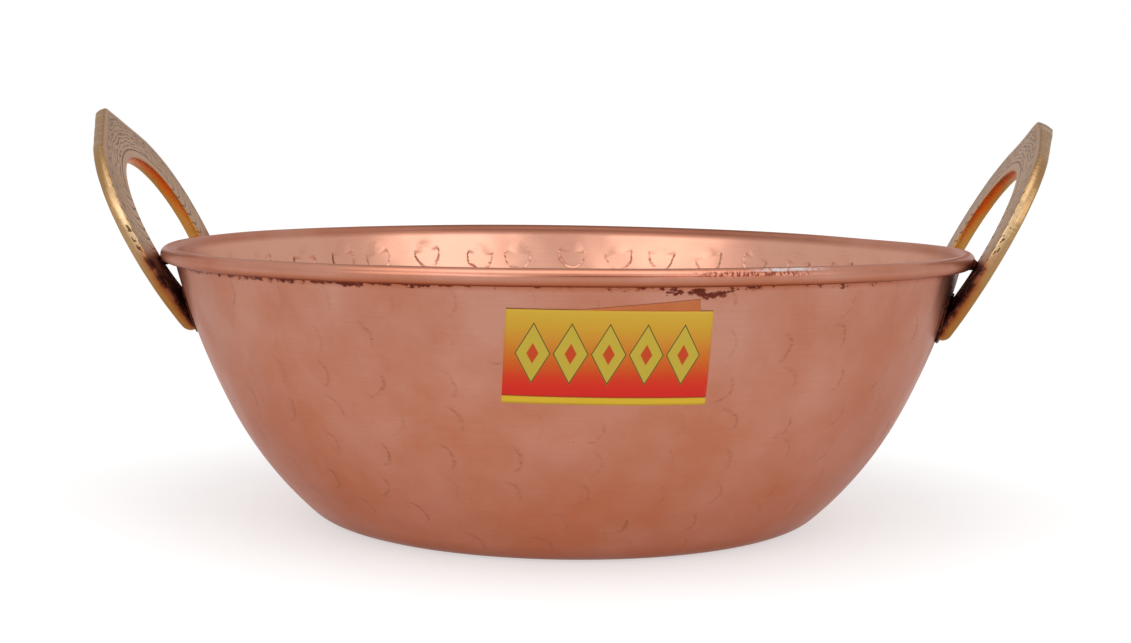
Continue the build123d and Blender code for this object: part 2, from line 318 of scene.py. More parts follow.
relief = node(tree, "Bump", at={"Strength": 1.0, "Distance": 1.0, "Height": height})

cloudy = node(tree, "MapRange", cloud, 0.35, 0.65)
upper_tone = node(
    tree, "Mix", at={0: cloudy, 6: paint("#b6816e"), 7: paint("#ae715a")}, data_type="RGBA", out=2,
)
lower_tone = node(
    tree, "Mix", at={0: cloudy, 6: paint("#b97962"), 7: paint("#b46c4f")}, data_type="RGBA", out=2,
)
low = node(tree, "MapRange", rise_mm, 150.0, 95.0)
colour = node(tree, "Mix", at={0: low, 6: upper_tone, 7: lower_tone}, data_type="RGBA", out=2)
# Painted shade: a darker band round the base's corner, on the outside.
worn_corner = band(tree, rise_mm, 72.5, 1.0, 9.0, most=0.55)
worn_corner = node(tree, "Math", worn_corner, outside, operation="MULTIPLY")
colour = node(tree, "Mix", at={0: worn_corner, 6: colour, 7: paint("#8a4630")}, data_type="RGBA", out=2)
rub_shade = node(tree, "MapRange", rub, 0.38, 0.62, -0.022, 0.022)
rub_shade = node(tree, "Math", rub_shade, 1.0, operation="ADD")
colour = node(tree, "HueSaturation", 0.5, 1.0, rub_shade, 1.0, colour)
# Painted light: the inside is painted paler, for the brighter light it reflects.
pickled = node(tree, "Math", inside, 0.55, operation="MULTIPLY")
colour = node(tree, "Mix", at={0: pickled, 6: colour, 7: paint("#d3a08a")}, data_type="RGBA", out=2)
# The blows' lines of painted shade, stronger inside.
line_strength = node(tree, "MapRange", inside, 0.0, 1.0, 0.42, 0.85)
mark_line = node(tree, "Math", mark_line, line_strength, operation="MULTIPLY")
colour = node(tree, "Mix", at={0: mark_line, 6: colour, 7: paint("#7c4433")}, data_type="RGBA", out=2)

# The roll carries painted shade in three places: a darker brown over its crest and inner half, a darker,
# redder underside, and a dark line for the shade in a fine crease along the front of the roll.
under = node(tree, "MapRange", roll_degrees, -8.0, -48.0, 0.0, 0.8)
under = node(tree, "Math", under, on_roll, operation="MULTIPLY")
colour = node(tree, "Mix", at={0: under, 6: colour, 7: paint("#9c5232")}, data_type="RGBA", out=2)
front_or_back = node(tree, "Math", node(tree, "Math", turn, operation="SINE"), operation="ABSOLUTE")
front_or_back = node(tree, "MapRange", front_or_back, 0.6, 0.92, 0.2, 1.0)
# Painted shade on the roll's crest, strongest at the front and back.
tarnish = node(tree, "Math", tarnish, front_or_back, operation="MULTIPLY")
colour = node(tree, "Mix", at={0: tarnish, 6: colour, 7: paint("#7e5040")}, data_type="RGBA", out=2)
degrees_round = node(tree, "Math", turn, 180 / np.pi, operation="MULTIPLY")
crease = band(tree, roll_degrees, 13.0, 2.0, 7.0, most=0.75)
crease_run = band(tree, degrees_round, -77.0, 8.0, 18.0)
for factor in (crease_run, on_roll):
    crease = node(tree, "Math", crease, factor, operation="MULTIPLY")
colour = node(tree, "Mix", at={0: crease, 6: colour, 7: paint("#7d3a24")}, data_type="RGBA", out=2)

# Burnt spots: a broken dark line in the corner under the roll, strong on the left of the front, with larger
# spots near its middle, a red band all along it, and a few brown specks elsewhere. To the right of the large
# spots lie red streaks on the roll, and above those a dull grey smear of solder.
crumble = node(tree, "TexNoise", place, at={"Scale": 520.0, "Detail": 4.0, "Roughness": 0.65})
red_band = node(tree, "Math", crumble, 1.2, rise_mm, operation="MULTIPLY_ADD")
red_band = node(tree, "MapRange", red_band, 161.2, 162.6, 0.0, 0.65)
red_band = node(tree, "Math", red_band, outside, operation="MULTIPLY")
colour = node(tree, "Mix", at={0: red_band, 6: colour, 7: paint("#9a4c28")}, data_type="RGBA", out=2)
spots_place = node(tree, "Math", turn, 55.0, operation="MULTIPLY")
spots_place = node(tree, "CombineXYZ", spots_place, rise_mm, 0.0)
spots = node(tree, "TexNoise", spots_place, at={"Scale": 0.5, "Detail": 6.0, "Roughness": 0.78})
left_run = band(tree, degrees_round, -127.0, 18.0, 34.0)
front_spots = band(tree, degrees_round, -69.3, 0.5, 7.5)
hidden_rise = 162.3      # above this the roll hides the wall
below_roll = node(tree, "Math", hidden_rise, rise_mm, operation="SUBTRACT")
near_roll = node(tree, "Math", front_spots, -2.3, below_roll, operation="MULTIPLY_ADD")
near_roll = node(tree, "MapRange", node(tree, "Math", near_roll, operation="ABSOLUTE"), 0.0, 1.9, 1.0, 0.0)
likely = node(tree, "Math", left_run, front_spots, operation="MAXIMUM")
likely = node(tree, "Math", likely, 0.20, 0.13, operation="MULTIPLY_ADD")
amount = node(tree, "Math", near_roll, likely, spots, operation="MULTIPLY_ADD")
broken_up = node(tree, "Math", crumble, 0.5, operation="SUBTRACT")
amount = node(tree, "Math", broken_up, 0.7, amount, operation="MULTIPLY_ADD")
stain = node(tree, "MapRange", amount, 0.655, 0.73, 0.0, 0.95, interpolation_type="SMOOTHSTEP")
for factor in (outside, node(tree, "MapRange", near_roll, 0.0, 0.15)):
    stain = node(tree, "Math", stain, factor, operation="MULTIPLY")
speck = node(tree, "MapRange", crumble, 0.70, 0.76, 0.0, 0.5)
speck = node(tree, "Math", speck, off_roll, operation="MULTIPLY")
colour = node(tree, "Mix", at={0: speck, 6: colour, 7: paint("#8a4632")}, data_type="RGBA", out=2)
streak_place = node(
    tree, "CombineXYZ", node(tree, "Math", turn, 118.0, operation="MULTIPLY"),
    node(tree, "Math", roll_degrees, 0.02, operation="MULTIPLY"), 7.0,
)
streaks = node(tree, "TexNoise", streak_place, at={"Scale": 1.6, "Detail": 3.0})
streaks = node(tree, "MapRange", streaks, 0.48, 0.56, 0.0, 0.75)
streak_band = band(tree, roll_degrees, 24.0, 12.0, 22.0)
streak_side = band(tree, degrees_round, -64.0, 5.0, 9.0)
for factor in (streak_band, streak_side, on_roll):
    streaks = node(tree, "Math", streaks, factor, operation="MULTIPLY")
stain = node(tree, "Math", stain, streaks, operation="MAXIMUM")
smear = band(tree, roll_degrees, 52.0, 9.0, 18.0)
for factor in (
    band(tree, degrees_round, -59.5, 2.0, 6.0), on_roll, node(tree, "MapRange", crumble, 0.38, 0.52),
):
    smear = node(tree, "Math", smear, factor, operation="MULTIPLY")

# Brown-red on the wall beside each leg of the handles, 23 mm from their middle: partly flux that ran down
# the wall and burnt there, partly a painted reflection of the dark leg.
leg_away, cloud_stray = 23.0, 14.0
away = node(tree, "Math", axes.outputs[1], operation="ABSOLUTE")
away = node(tree, "Math", away, 1 / MM, operation="MULTIPLY")
away = node(tree, "Math", cloud, cloud_stray, away, operation="MULTIPLY_ADD")
from_leg = node(tree, "Math", away, leg_away + cloud_stray / 2, operation="SUBTRACT")
from_leg = node(tree, "Math", from_leg, operation="ABSOLUTE")
flux = node(tree, "Math", crumble, 8.0, from_leg, operation="MULTIPLY_ADD")
flux = node(tree, "MapRange", flux, 8.0, 14.0, 1.0, 0.0)
down = node(tree, "Math", cloud, 16.0, rise_mm, operation="MULTIPLY_ADD")
flux_skin = node(tree, "Math", under, 1.2, operation="MULTIPLY")
flux_skin = node(tree, "Math", outside, flux_skin, operation="MAXIMUM")
for factor in (node(tree, "MapRange", down, 138.0, 151.0), flux_skin, 0.85):
    flux = node(tree, "Math", flux, factor, operation="MULTIPLY")
burnt = node(tree, "MapRange", crumble, 0.42, 0.62)
flux_tone = node(
    tree, "Mix", at={0: burnt, 6: paint("#70240f"), 7: paint("#9a4c2e")}, data_type="RGBA", out=2,
)
for cover, tone in ((flux, flux_tone), (stain, paint("#6c2213")), (smear, paint("#b9b0b2"))):
    colour = node(tree, "Mix", at={0: cover, 6: colour, 7: tone}, data_type="RGBA", out=2)
dull = node(tree, "Math", node(tree, "Math", stain, flux, operation="MAXIMUM"), smear, operation="MAXIMUM")
gloss = node(tree, "MapRange", rub, 0.3, 0.7, 0.29, 0.35)
gloss = node(tree, "Math", inside, -0.03, gloss, operation="MULTIPLY_ADD")
duller = node(tree, "Math", tarnish, dull, operation="MAXIMUM")
gloss = node(tree, "Math", duller, 0.2, gloss, operation="MULTIPLY_ADD")
metal = node(tree, "MapRange", dull, 0.0, 1.0, 1.0, 0.15)
shader = node(
    tree, "BsdfPrincipled",
    at={
        "Base Color": colour, "Metallic": metal, "Roughness": gloss, "Specular Tint": paint("#e2d2ce"),
        "Specular IOR Level": 0.25, "Normal": relief,
    },
)
tree.links.new(shader, output.inputs["Surface"])
bowl.data.materials.append(copper)
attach(bowl, "root")
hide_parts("bowl")

# The wire in the rolled edge: plain drawn iron, bent to a ring with its ends butted, dull grey-brown with
# age. It shows only in the slot between the roll's end and the wall, and follows the rim's dips.
wire_joint, wire_butt_gap = np.radians(62.0), 0.6
half_butt = wire_butt_gap / 2 / rim_middle[0]
wire_round = np.linspace(wire_joint + half_butt, wire_joint + 2 * np.pi - half_butt, 361)[:, None]
wire_turn = np.linspace(0, 2 * np.pi, 16, endpoint=False)
wire_out = rim_middle[0] + wire_radius * np.cos(wire_turn)
wire_level = rim_level + wire_radius * np.sin(wire_turn)
wire_points = hand_made(np.stack(np.broadcast_arrays(
    wire_out * np.cos(wire_round), wire_out * np.sin(wire_round), wire_level), axis=-1))
wire = surface("rim_wire_iron", wire_points, [wire_points[0].mean(axis=0), wire_points[-1].mean(axis=0)])
iron, tree, output = material("iron_wire_drawn")
place = node(tree, "TexCoord", out="Object")
mottle = node(tree, "TexNoise", place, at={"Scale": 500.0, "Detail": 3.0})
colour = node(tree, "Mix", at={0: mottle, 6: paint("#4a4540"), 7: paint("#6b5444")}, data_type="RGBA", out=2)
rough = node(tree, "MapRange", mottle, 0.3, 0.7, 0.45, 0.7)
relief = node(tree, "Bump", at={"Strength": 0.4, "Distance": 0.0001, "Height": mottle})
shader = node(
    tree, "BsdfPrincipled",
    at={"Base Color": colour, "Metallic": 0.9, "Roughness": rough, "Normal": relief},
)
tree.links.new(shader, output.inputs["Surface"])
wire.data.materials.append(iron)
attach(wire, "root")
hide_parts("rim_wire")

# The handles: flat rings with a pointed crown, sand-cast in yellow brass from one pattern, filed round the
# edge, the inner face cut with a graver. Each leans outwards on the rolled rim, its feet filed to the wall.
handle_thickness = 3.7
handle_lean = np.radians(28.15)
half_width, tip_rise, widest_rise, foot_drop = 37.6, 46.7, 5.8, 25.2
flank_lean = np.radians(61.8)
leg_curve, tip_round = 48.6, 2.6
hole_radius, hole_rise, foot_gap, leg_round = 25.8, 3.3, 28.0, 3.0
edge_round = 0.65
roll_radius = wire_radius + wire_play + sheet
stands = {"right": 0.4, "left": 1.3}
leans_round = {"right": np.radians(-1.1), "left": np.radians(-2.9)}
# The right crown is blunter by this much at its tip, and thicker by this much inwards and outwards.
crown_blunting = {"right": 1.0, "left": 0.0}
crown_swell = {"right": (0.9, 0.6), "left": (0.0, 0.0)}


def evenly(line, count):
    """count points at equal distances along a line of points."""
    run = np.append(0, np.cumsum(np.linalg.norm(np.diff(line, axis=0), axis=1)))
    want = np.linspace(0, run[-1], count)
    return np.stack([np.interp(want, run, line[:, i]) for i in range(2)], axis=-1)


def bend(middle, radius, start, end, count=60):
    """Points of an arc in the plate: middle plus radius times (cos, sin) of an angle that runs evenly."""
    angle = np.linspace(start, end, count)
    return np.asarray(middle) + radius * np.stack([np.cos(angle), np.sin(angle)], axis=-1)


def ring_edges(count):
    """The plate's outer and hole edges from the crown's middle to a foot, count points each. Outer: crown's
    round, straight flank, shoulder arc, leg arc. Hole: circle, round corner, straight side of the gap."""
    shoulder = (tip_rise - widest_rise) * np.sin(flank_lean) - half_width * np.cos(flank_lean)
    shoulder = shoulder / (1 - np.cos(flank_lean))
    foot_turn = np.arcsin((widest_rise + foot_drop) / leg_curve)
    outer = np.concatenate([
        bend((0, tip_rise - tip_round / np.sin(flank_lean)), tip_round, np.pi / 2, flank_lean, 20),
        bend((half_width - shoulder, widest_rise), shoulder, flank_lean, 0),
        bend((half_width - leg_curve, widest_rise), leg_curve, 0, -foot_turn),
    ])
    side = foot_gap / 2 + leg_round
    corner = np.array([side, hole_rise - np.sqrt((hole_radius + leg_round) ** 2 - side ** 2)])
    toward = np.arctan2(corner[1] - hole_rise, corner[0])
    hole = np.concatenate([
        bend((0, hole_rise), hole_radius, np.pi / 2, toward, 120),
        bend(corner, leg_round, toward + np.pi, np.pi, 20),
        [(foot_gap / 2, -foot_drop)],
    ])
    return evenly(outer, count), evenly(hole, count)


def plate_to_pan(points, side):
    """Turns plate points (along the rim, up the plate, outwards through it) into the pan's own frame: the
    plate is spun in its own plane, leant outwards, and stood off from the rolled rim at its seat."""
    spin, stand = leans_round[side], stands[side]
    seat = np.sqrt(hole_radius ** 2 - (hole_rise + roll_radius * np.tan(handle_lean)) ** 2)
    face = np.sqrt(rim_middle[0] ** 2 - seat ** 2) + roll_radius / np.cos(handle_lean) + stand
    x = points[..., 0] * np.cos(spin) - points[..., 1] * np.sin(spin)
    y = points[..., 0] * np.sin(spin) + points[..., 1] * np.cos(spin)
    out = face + y * np.sin(handle_lean) + points[..., 2] * np.cos(handle_lean)
    level = rim_level + y * np.cos(handle_lean) - points[..., 2] * np.sin(handle_lean)
    placed = np.stack([out, x, level], axis=-1)
    return placed if side == "right" else placed * [-1, -1, 1]


def wall_depth(points, side):
    """How far along the plate's thickness the wall lies from the inner face, at plate points. It starts at
    the inner face and steps by what is still missing from the wall's radius, 14 times."""
    probe = points * [1.0, 1.0, 0.0]
    for _ in range(14):
        placed = plate_to_pan(probe, side)
        wall = wall_radius(np.minimum(placed[..., 2], rim_level - 3))
        missing = wall - np.hypot(placed[..., 0], placed[..., 1])
        probe[..., 2] += 0.8 * missing / np.cos(handle_lean)
    return probe[..., 2]


half_count = 190
outer_half, hole_half = ring_edges(half_count)
mirror = np.array([-1.0, 1.0])
outer_edge = np.concatenate([outer_half[::-1] * mirror, outer_half[1:]])[:, None]
hole_edge = np.concatenate([hole_half[::-1] * mirror, hole_half[1:]])[:, None]
width = np.linalg.norm(outer_edge - hole_edge, axis=-1)
run = np.append(0, np.cumsum(np.linalg.norm(np.diff((outer_edge + hole_edge)[:, 0] / 2, axis=0), axis=1)))
run = (run - run[half_count - 1])[:, None]


def loop_across(width):
    """One section of the ring: distance from the hole's edge and depth, all round a rectangle. Its corners
    are quarter circles of edge_round, and its narrow sides bulge by half a sine wave, as filed edges do."""
    thick, soft = handle_thickness, edge_round
    sine = soft * np.sin(np.linspace(0, np.pi / 2, 6))
    cosine = soft * np.cos(np.linspace(0, np.pi / 2, 6))
    share = np.linspace(0, 1, 10)
    bulge = 0.18 * np.sin(np.linspace(0, np.pi, 7)[1:-1])
    between = np.linspace(soft, thick - soft, 7)[1:-1]
    face = (width - 2 * soft) * share
    across_mm = np.concatenate([
        soft + face, width - soft + sine[1:],
        width + bulge, width - soft + cosine, width - soft - face[:, 1:],
        soft - sine[1:] + 0 * width, 0 * width - bulge * 0.5, soft - cosine[:-1] + 0 * width,
    ], axis=1)
    depth_mm = np.concatenate([
        0 * share, soft - cosine[1:],
        between, thick - soft + sine, thick + 0 * share[1:],
        thick - soft + cosine[1:], between[::-1], soft - sine[:-1],
    ])
    return across_mm, np.broadcast_to(depth_mm, across_mm.shape)


across_mm, depth_mm = loop_across(width)
ring_points = np.concatenate(
    [hole_edge + (outer_edge - hole_edge) * (across_mm / width)[..., None], depth_mm[..., None]], axis=-1,
)
filed = 0.06 * np.sin(run * 0.9 + 1) * np.sin(run * 0.23) * (across_mm / width > 0.9)
ring_points[..., :2] -= filed[..., None] * (outer_edge - hole_edge) / width[..., None]

# The foot's end is filed round: within 2.8 mm of it the plate's thickness falls as a quarter circle.
foot_round, foot_lip = 2.8, 0.15
to_end = np.clip(foot_round - (run.max() - np.abs(run)), 0, foot_round)
foot_thickness = handle_thickness - foot_round + np.sqrt(foot_round ** 2 - to_end ** 2) + foot_lip
ring_points[..., 2] *= foot_thickness / (handle_thickness + foot_lip)

# Cast yellow brass, tumbled and hand-finished. The faces are matte and cut with fine strokes whose bottoms
# hold dirt. The edges are filed, with painted shade in the file grooves and at their upper corner, and a
# painted highlight. Torch heat has browned the lower ends. The hole carries a painted orange reflection of
# the copper. The flux has burnt black on the inner face, which also carries painted shade and pinkish
# patches of painted reflection of the copper.
brass, tree, output = material("brass_cast_filed_and_engraved")
place = node(tree, "TexCoord", out="Object")
along = node(tree, "Attribute", attribute_name="along", out="Fac")
across = node(tree, "Attribute", attribute_name="across", out="Fac")
to_edge = node(tree, "Attribute", attribute_name="to_edge", out="Fac")
depth = node(tree, "Attribute", attribute_name="depth", out="Fac")
up = node(tree, "Attribute", attribute_name="up", out="Fac")
side_out = node(tree, "Attribute", attribute_name="side_out", out="Fac")
face = node(tree, "MapRange", depth, 0.12, 0.4, 1.0, 0.0)
from_crown = node(tree, "Math", along, operation="ABSOLUTE")

# Graver's work on the inner face: a line 2.9 mm outside the hole and one 2.1 mm inside the outer edge, scales
# 3.6 mm apart down the legs, punch marks 5.5 mm apart, and broken wavy strokes 1.3 mm apart over the crown.
hole_line = band(tree, across, 2.9, 0.14, 0.5)
hole_line = node(
    tree, "Math", hole_line, node(tree, "MapRange", from_crown, 26.0, 34.0, 1.0, 0.2), operation="MULTIPLY",
)
edge_line = band(tree, to_edge, 2.1, 0.10, 0.4, most=0.55)
scale_pitch, punch_pitch, hatch_pitch = 3.6, 5.5, 1.3
scale_sag = node(tree, "Math", node(tree, "Math", across, 5.2, operation="SUBTRACT"), 2.0, operation="POWER")
scale_sag = node(tree, "Math", scale_sag, 0.13, from_crown, operation="MULTIPLY_ADD")
scale_sway = node(tree, "TexNoise", node(tree, "CombineXYZ", along, across, 0.0), at={"Scale": 0.5})
scale_sag = node(tree, "Math", scale_sway, 1.6, scale_sag, operation="MULTIPLY_ADD")
scale_run = node(tree, "Math", scale_sag, 1 / scale_pitch, operation="MULTIPLY")
scale_run = node(tree, "Math", scale_run, operation="FRACT")
scale_line = band(tree, scale_run, 0.5, 0.05, 0.15)
on_legs = node(tree, "MapRange", from_crown, 24.0, 34.0)
scale_line = node(tree, "Math", scale_line, on_legs, operation="MULTIPLY")
punch_run = node(tree, "Math", from_crown, 1 / punch_pitch, operation="MULTIPLY")
punch_run = node(tree, "Math", punch_run, operation="FRACT")
punch_run = node(tree, "Math", punch_run, 0.5, operation="SUBTRACT")
punch_run = node(tree, "Math", punch_run, 3.4, operation="MULTIPLY")
punch_far = node(tree, "CombineXYZ", punch_run, node(tree, "Math", to_edge, 3.1, operation="SUBTRACT"), 0.0)
punch_far = node(tree, "VectorMath", punch_far, operation="LENGTH", out="Value")
punch = node(tree, "MapRange", punch_far, 0.3, 0.8, 0.8, 0.0)
hatch_place = node(tree, "CombineXYZ", node(tree, "Math", along, 0.35, operation="MULTIPLY"), across, depth)
hatch_wave = node(tree, "TexNoise", hatch_place, at={"Scale": 0.5, "Detail": 2.0})
hatch_run = node(tree, "Math", hatch_wave, 3.2, across, operation="MULTIPLY_ADD")
hatch_run = node(tree, "Math", hatch_run, 1 / hatch_pitch, operation="MULTIPLY")
hatch = band(tree, node(tree, "Math", hatch_run, operation="FRACT"), 0.5, 0.10, 0.28)
broken = node(tree, "TexNoise", hatch_place, at={"Scale": 1.6, "Detail": 2.0})
for factor in (
    node(tree, "MapRange", broken, 0.42, 0.52),
    node(tree, "MapRange", across, 3.2, 3.8),
    node(tree, "MapRange", to_edge, 2.2, 2.8),
    node(tree, "MapRange", from_crown, 24.0, 34.0, 1.0, 0.15),
):
    hatch = node(tree, "Math", hatch, factor, operation="MULTIPLY")
cut = hole_line
for line in (edge_line, scale_line, punch, hatch):
    cut = node(tree, "Math", cut, line, operation="MAXIMUM")
cut = node(tree, "Math", cut, face, operation="MULTIPLY")

# File strokes cross the edge about 1 mm apart near the crown. The casting has a row of pits along the corner
# between inner face and edge, a little above the rim.
file_place = node(tree, "CombineXYZ", along, node(tree, "Math", depth, 0.2, operation="MULTIPLY"), 3.0)
file_wave = node(tree, "TexNoise", file_place, at={"Scale": 1.0, "Detail": 3.0})
file_amount = node(tree, "MapRange", from_crown, 6.0, 34.0, 1.0, 0.25)
grain = node(tree, "TexNoise", place, at={"Scale": 1300.0, "Detail": 3.0})
dapple = node(tree, "TexNoise", place, at={"Scale": 300.0, "Detail": 3.0})
pit_place = node(tree, "CombineXYZ", node(tree, "Math", along, 0.6, operation="MULTIPLY"), across, depth)
pit_noise = node(tree, "TexNoise", pit_place, at={"Scale": 1.5, "Detail": 1.0})
pit_zone = band(tree, up, 6.0, 3.5, 7.0)
at_corner = band(tree, depth, 1.0, 0.3, 0.8)
for factor in (at_corner, side_out):
    pit_zone = node(tree, "Math", pit_zone, factor, operation="MULTIPLY")
pit = node(tree, "Math", pit_zone, 0.35, pit_noise, operation="MULTIPLY_ADD")
pit = node(tree, "MapRange", pit, 0.84, 0.89, 0.0, 0.9)
edge_face = node(tree, "Math", 1.0, face, operation="SUBTRACT")
height = node(tree, "Math", cut, -0.12, operation="MULTIPLY")
file_cut = node(tree, "MapRange", file_wave, 0.40, 0.60)
filing = node(tree, "Math", file_cut, edge_face, operation="MULTIPLY")
filing = node(tree, "Math", filing, file_amount, operation="MULTIPLY")
height = node(tree, "Math", filing, 0.11, height, operation="MULTIPLY_ADD")
height = node(tree, "Math", grain, 0.025, height, operation="MULTIPLY_ADD")
height = node(tree, "Math", dapple, 0.08, height, operation="MULTIPLY_ADD")
height = node(tree, "Math", pit, -0.12, height, operation="MULTIPLY_ADD")
height = node(tree, "Math", height, MM, operation="MULTIPLY")
relief = node(tree, "Bump", at={"Strength": 1.0, "Distance": 1.0, "Height": height})

cloud = node(tree, "TexNoise", place, at={"Scale": 90.0, "Detail": 3.0})
face_colour = node(
    tree, "Mix", at={0: cloud, 6: paint("#ad8f76"), 7: paint("#9c7857")}, data_type="RGBA", out=2,
)
edge_colour = node(
    tree, "Mix", at={0: cloud, 6: paint("#9c7a55"), 7: paint("#8b683e")}, data_type="RGBA", out=2,
)
colour = node(tree, "Mix", at={0: face, 6: edge_colour, 7: face_colour}, data_type="RGBA", out=2)
# A painted highlight on the outer edge, near its corner with the inner face, a little above the rim.
rubbed = band(tree, up, 8.0, 6.0, 22.0, most=0.75)
for factor in (node(tree, "MapRange", depth, 0.9, 2.2, 1.0, 0.2), edge_face, side_out):
    rubbed = node(tree, "Math", rubbed, factor, operation="MULTIPLY")
on_edge = node(tree, "Math", file_amount, edge_face, operation="MULTIPLY")
# Painted shade in the grooves of the file strokes on the edge.
filed_dark = node(tree, "Math", 1.0, file_cut, operation="SUBTRACT")
for factor in (on_edge, 0.35):
    filed_dark = node(tree, "Math", filed_dark, factor, operation="MULTIPLY")
colour = node(tree, "Mix", at={0: filed_dark, 6: colour, 7: paint("#6f4c2c")}, data_type="RGBA", out=2)
colour = node(tree, "Mix", at={0: rubbed, 6: colour, 7: paint("#d9bc92")}, data_type="RGBA", out=2)
heat = node(tree, "MapRange", up, 4.0, -14.0, 0.0, 0.9)
colour = node(tree, "Mix", at={0: heat, 6: colour, 7: paint("#9a6834")}, data_type="RGBA", out=2)
hole_wall = node(tree, "MapRange", across, 0.5, 0.1)
bare_hole = node(tree, "Math", hole_wall, 0.8, operation="MULTIPLY")
colour = node(tree, "Mix", at={0: bare_hole, 6: colour, 7: paint("#a07232")}, data_type="RGBA", out=2)
# A painted orange reflection of the copper on the hole's wall, in a band across its depth.
glow_zone = node(tree, "MapRange", up, 2.0, 18.0, 0.1, 0.95)
glow_zone = node(tree, "Math", hole_wall, glow_zone, operation="MULTIPLY")
glow_depth = node(tree, "Math", dapple, 3.0, depth, operation="MULTIPLY_ADD")
glow_band = band(tree, glow_depth, 2.8, 0.5, 1.5, least=0.1)
glow_zone = node(tree, "Math", glow_zone, glow_band, operation="MULTIPLY")
colour = node(tree, "Mix", at={0: glow_zone, 6: colour, 7: paint("#c85a18")}, data_type="RGBA", out=2)
dirt = node(tree, "Math", cut, 0.85, operation="MULTIPLY")
colour = node(tree, "Mix", at={0: dirt, 6: colour, 7: paint("#573626")}, data_type="RGBA", out=2)
colour = node(tree, "Mix", at={0: pit, 6: colour, 7: paint("#4a2410")}, data_type="RGBA", out=2)

# A darker line of painted shade marks the corner between the inner face and the filed edge, over the upper
# half of the ring.
corner_line = band(tree, depth, 0.4, 0.15, 0.5, most=0.55)
for factor in (side_out, node(tree, "MapRange", up, 12.0, 26.0)):
    corner_line = node(tree, "Math", corner_line, factor, operation="MULTIPLY")
colour = node(tree, "Mix", at={0: corner_line, 6: colour, 7: paint("#6e5030")}, data_type="RGBA", out=2)

# Burnt flux, deepened by painted shade, on the inner face and the corner beside it, from the rim's level
# down, with pinkish patches of painted reflection of the copper bowl.
soot_noise = node(tree, "TexNoise", place, at={"Scale": 170.0, "Detail": 4.0, "Roughness": 0.6})
soot_stray = node(tree, "Math", soot_noise, 0.5, operation="SUBTRACT")
soot_line = node(tree, "Math", soot_stray, 9.0, up, operation="MULTIPLY_ADD")
soot_reach = node(tree, "Math", soot_stray, 2.0, depth, operation="MULTIPLY_ADD")
soot = node(tree, "MapRange", soot_line, 0.0, -2.6, 0.0, 1.0, interpolation_type="SMOOTHSTEP")
soot = node(tree, "Math", soot, node(tree, "MapRange", soot_reach, 0.6, 1.3, 1.0, 0.0), operation="MULTIPLY")
bare_patch = node(tree, "MapRange", soot_noise, 0.49, 0.60, 0.0, 0.85)
soot_colour = node(
    tree, "Mix", at={0: bare_patch, 6: paint("#3a1209"), 7: paint("#9c604a")}, data_type="RGBA", out=2,
)
singed = node(tree, "MapRange", soot_line, 4.0, -3.0, 0.0, 0.95)
singed_reach = node(tree, "MapRange", soot_reach, 1.0, 2.5, 1.0, 0.0)
singed = node(tree, "Math", singed, singed_reach, operation="MULTIPLY")
colour = node(tree, "Mix", at={0: singed, 6: colour, 7: paint("#8a3d12")}, data_type="RGBA", out=2)
colour = node(tree, "Mix", at={0: soot, 6: colour, 7: soot_colour}, data_type="RGBA", out=2)
rough = node(tree, "MapRange", face, 0.0, 1.0, 0.26, 0.5)
rough = node(tree, "Math", on_edge, 0.12, rough, operation="MULTIPLY_ADD")
rough = node(tree, "Math", soot, 0.05, rough, operation="MULTIPLY_ADD")
metal = node(tree, "MapRange", soot, 0.0, 1.0, 1.0, 0.2)
shader = node(
    tree, "BsdfPrincipled",
    at={
        "Base Color": colour, "Metallic": metal, "Roughness": rough, "Specular IOR Level": 0.2,
        "Normal": relief,
    },
)
tree.links.new(shader, output.inputs["Surface"])

foot_clearance = 0.1     # mm between brass and copper at the foot
for side in ("left", "right"):
    fitted = ring_points.copy()
    touching = np.maximum(ring_points[..., 2], wall_depth(ring_points, side) + foot_clearance)
    fitted[..., 2] = np.where(ring_points[..., 1] < -3, touching, ring_points[..., 2])
    share = np.clip(across_mm / width, 0, 1)
    fitted[..., 1] -= crown_blunting[side] * np.exp(-(run / 5.5) ** 2) * share ** 2
    deep = ring_points[..., 2] / handle_thickness
    inwards, outwards = crown_swell[side]
    swell = (deep * outwards - (1 - deep) * inwards) * np.exp(-(run / 9) ** 2) * share
    placed = plate_to_pan(fitted + swell[..., None] * [0, 0, 1], side)
    handle = surface(
        side + "_handle_brass", placed, [placed[0].mean(axis=0), placed[-1].mean(axis=0)],
        along=run, across=across_mm, to_edge=width - across_mm, depth=depth_mm, up=ring_points[..., 1],
        side_out=across_mm / width > 0.5,
    )
    handle.data.materials.append(brass)
    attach(handle, "root")
    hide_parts(side + "_handle")

# The brazes: alloy run into each joint with a torch, with burnt borax flux on it, black-brown, glassy and
# lumpy. One lump sits between each leg and the rolled rim, and one bead runs round each foot on the wall.
soot_alloy, tree, output = material("brazing_alloy_with_burnt_flux")
place = node(tree, "TexCoord", out="Object")
lumps = node(tree, "TexNoise", place, at={"Scale": 480.0, "Detail": 4.0, "Roughness": 0.6})
shine = node(tree, "MapRange", lumps, 0.4, 0.72)
colour = node(tree, "Mix", at={0: shine, 6: paint("#260c06"), 7: paint("#6c3020")}, data_type="RGBA", out=2)
rough = node(tree, "MapRange", lumps, 0.3, 0.7, 0.3, 0.6)
height = node(tree, "Math", lumps, 0.35 * MM, operation="MULTIPLY")
relief = node(tree, "Bump", at={"Strength": 1.0, "Distance": 1.0, "Height": height})
shader = node(
    tree, "BsdfPrincipled",
    at={
        "Base Color": colour, "Metallic": 0.2, "Roughness": rough, "Specular IOR Level": 0.15,
        "Specular Tint": paint("#a8583e"), "Normal": relief,
    },
)
tree.links.new(shader, output.inputs["Surface"])
braze_centre, braze_size, braze_depth = (27.4, -1.7), (2.9, 1.7, 1.5), -1.2
braze_sink = {"left": 1.15, "right": 0.25}      # mm by which the dipping roll lies lower at each handle
foot_top, bead_radius = -13.0, 0.95


